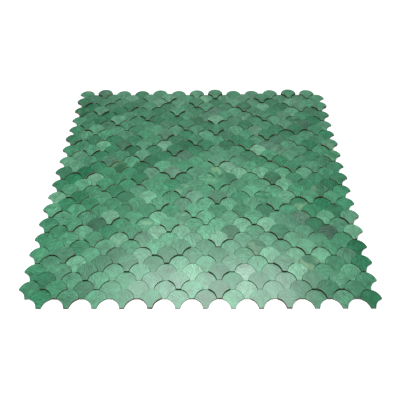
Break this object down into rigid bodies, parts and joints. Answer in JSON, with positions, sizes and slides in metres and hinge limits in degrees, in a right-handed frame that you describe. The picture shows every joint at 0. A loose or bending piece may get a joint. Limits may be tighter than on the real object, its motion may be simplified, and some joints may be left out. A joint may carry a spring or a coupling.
{
  "type": "peel and stick backsplash tile",
  "caption": "Flat mosaic sheet of fish-scale wood chips in stepped thicknesses on a self-adhesive backing, for covering a kitchen wall.",
  "frame": {"origin": "centre of the sheet on the underside of the adhesive backing", "axes": "+X along the rows of scales, +Y the way the rounded ends point, +Z out of the face"},
  "size_m": [0.306, 0.2886, 0.0034],
  "materials": {
    "stained_wood": "green-stained wood with a satin lacquer",
    "backing_film": "matt white self-adhesive film"
  },
  "bodies": {
    "root": {"adhesive_backing": "backing_film", "scale_row_01": "stained_wood", "scale_row_02": "stained_wood", "scale_row_03": "stained_wood", "scale_row_04": "stained_wood", "scale_row_05": "stained_wood", "scale_row_06": "stained_wood", "scale_row_07": "stained_wood", "scale_row_08": "stained_wood", "scale_row_09": "stained_wood", "scale_row_10": "stained_wood", "scale_row_11": "stained_wood", "scale_row_12": "stained_wood", "scale_row_13": "stained_wood", "scale_row_14": "stained_wood", "scale_row_15": "stained_wood", "scale_row_16": "stained_wood", "scale_row_17": "stained_wood", "scale_row_18": "stained_wood", "scale_row_19": "stained_wood", "scale_row_20": "stained_wood", "scale_row_21": "stained_wood", "scale_row_22": "stained_wood", "scale_row_23": "stained_wood", "scale_row_24": "stained_wood", "scale_row_25": "stained_wood", "scale_row_26": "stained_wood", "scale_row_27": "stained_wood", "scale_row_28": "stained_wood", "scale_row_29": "stained_wood", "scale_row_30": "stained_wood", "scale_row_31": "stained_wood", "scale_row_32": "stained_wood", "scale_row_33": "stained_wood", "scale_row_34": "stained_wood"}
  },
  "joints": []
}
